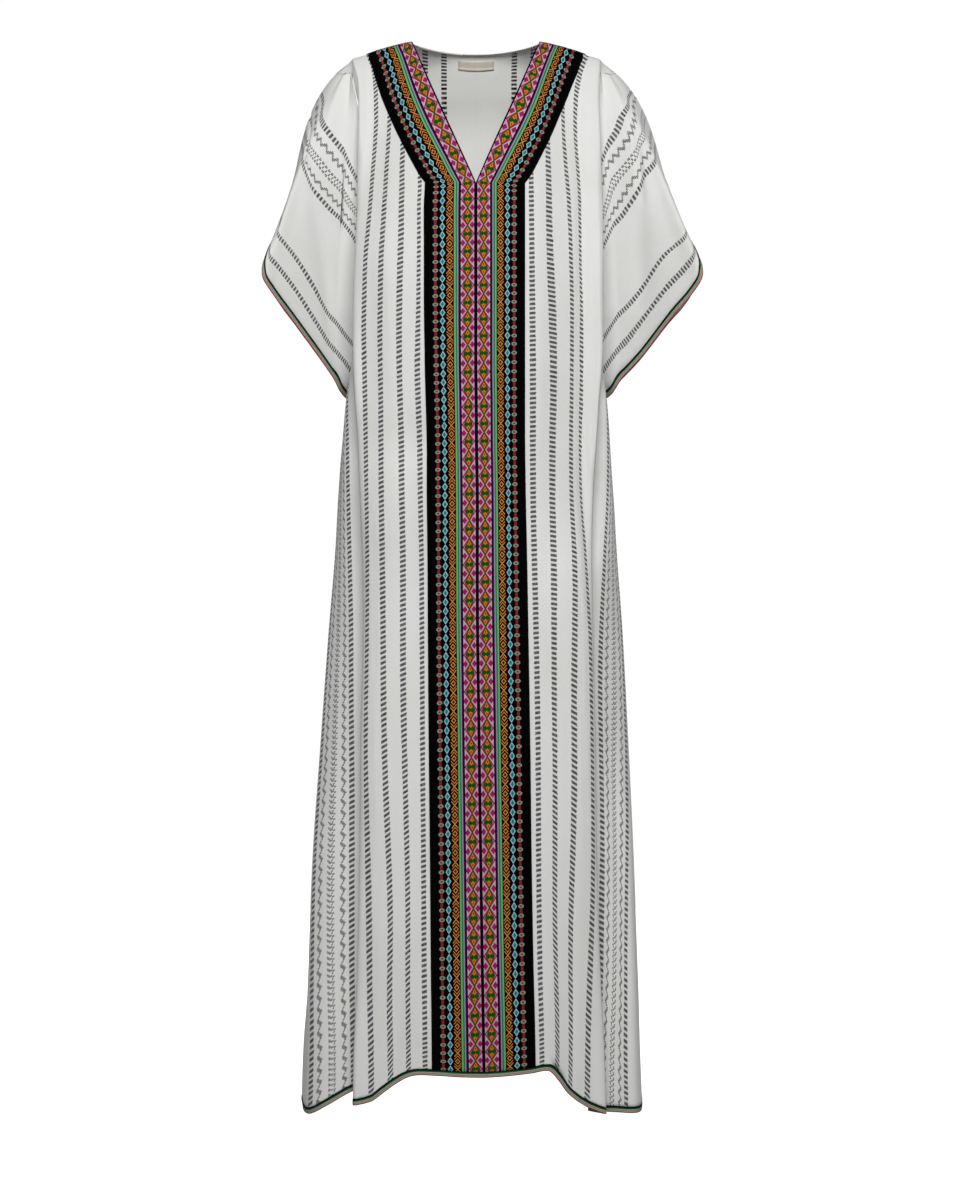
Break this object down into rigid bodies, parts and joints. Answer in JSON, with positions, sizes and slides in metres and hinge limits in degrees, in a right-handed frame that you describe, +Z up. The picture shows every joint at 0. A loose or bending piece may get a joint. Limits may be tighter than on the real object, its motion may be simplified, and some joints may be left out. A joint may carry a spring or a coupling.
{
  "type": "kaftan",
  "caption": "Long straight kaftan with a V neck, cut-on elbow sleeves, a woven front band and striped panels, filled out as if worn.",
  "frame": {"origin": "between the two shoulder ends of the neckline, level with the top of the shoulders, where the wearer's shoulders hold the garment up", "axes": "+Z up the garment, -Y out of its front, +X to the right of someone who looks at its front"},
  "size_m": [0.5843, 0.3115, 1.4406],
  "materials": {
    "white_cotton": "matte, faintly crinkled plain weave with woven grey stripes",
    "woven_band": "matte jacquard ribbon in many colours on black",
    "edge_trim": "matte narrow woven edging",
    "label_tape": "matte tape"
  },
  "bodies": {
    "root": {"front": "white_cotton", "back": "white_cotton", "sleeve_left": "white_cotton", "sleeve_right": "white_cotton", "band_left": "woven_band", "band_right": "woven_band", "neck_binding": "label_tape", "label": "label_tape", "cuff_trim_left": "edge_trim", "cuff_trim_right": "edge_trim", "hem_trim_front": "edge_trim", "hem_trim_back": "edge_trim"}
  },
  "joints": []
}
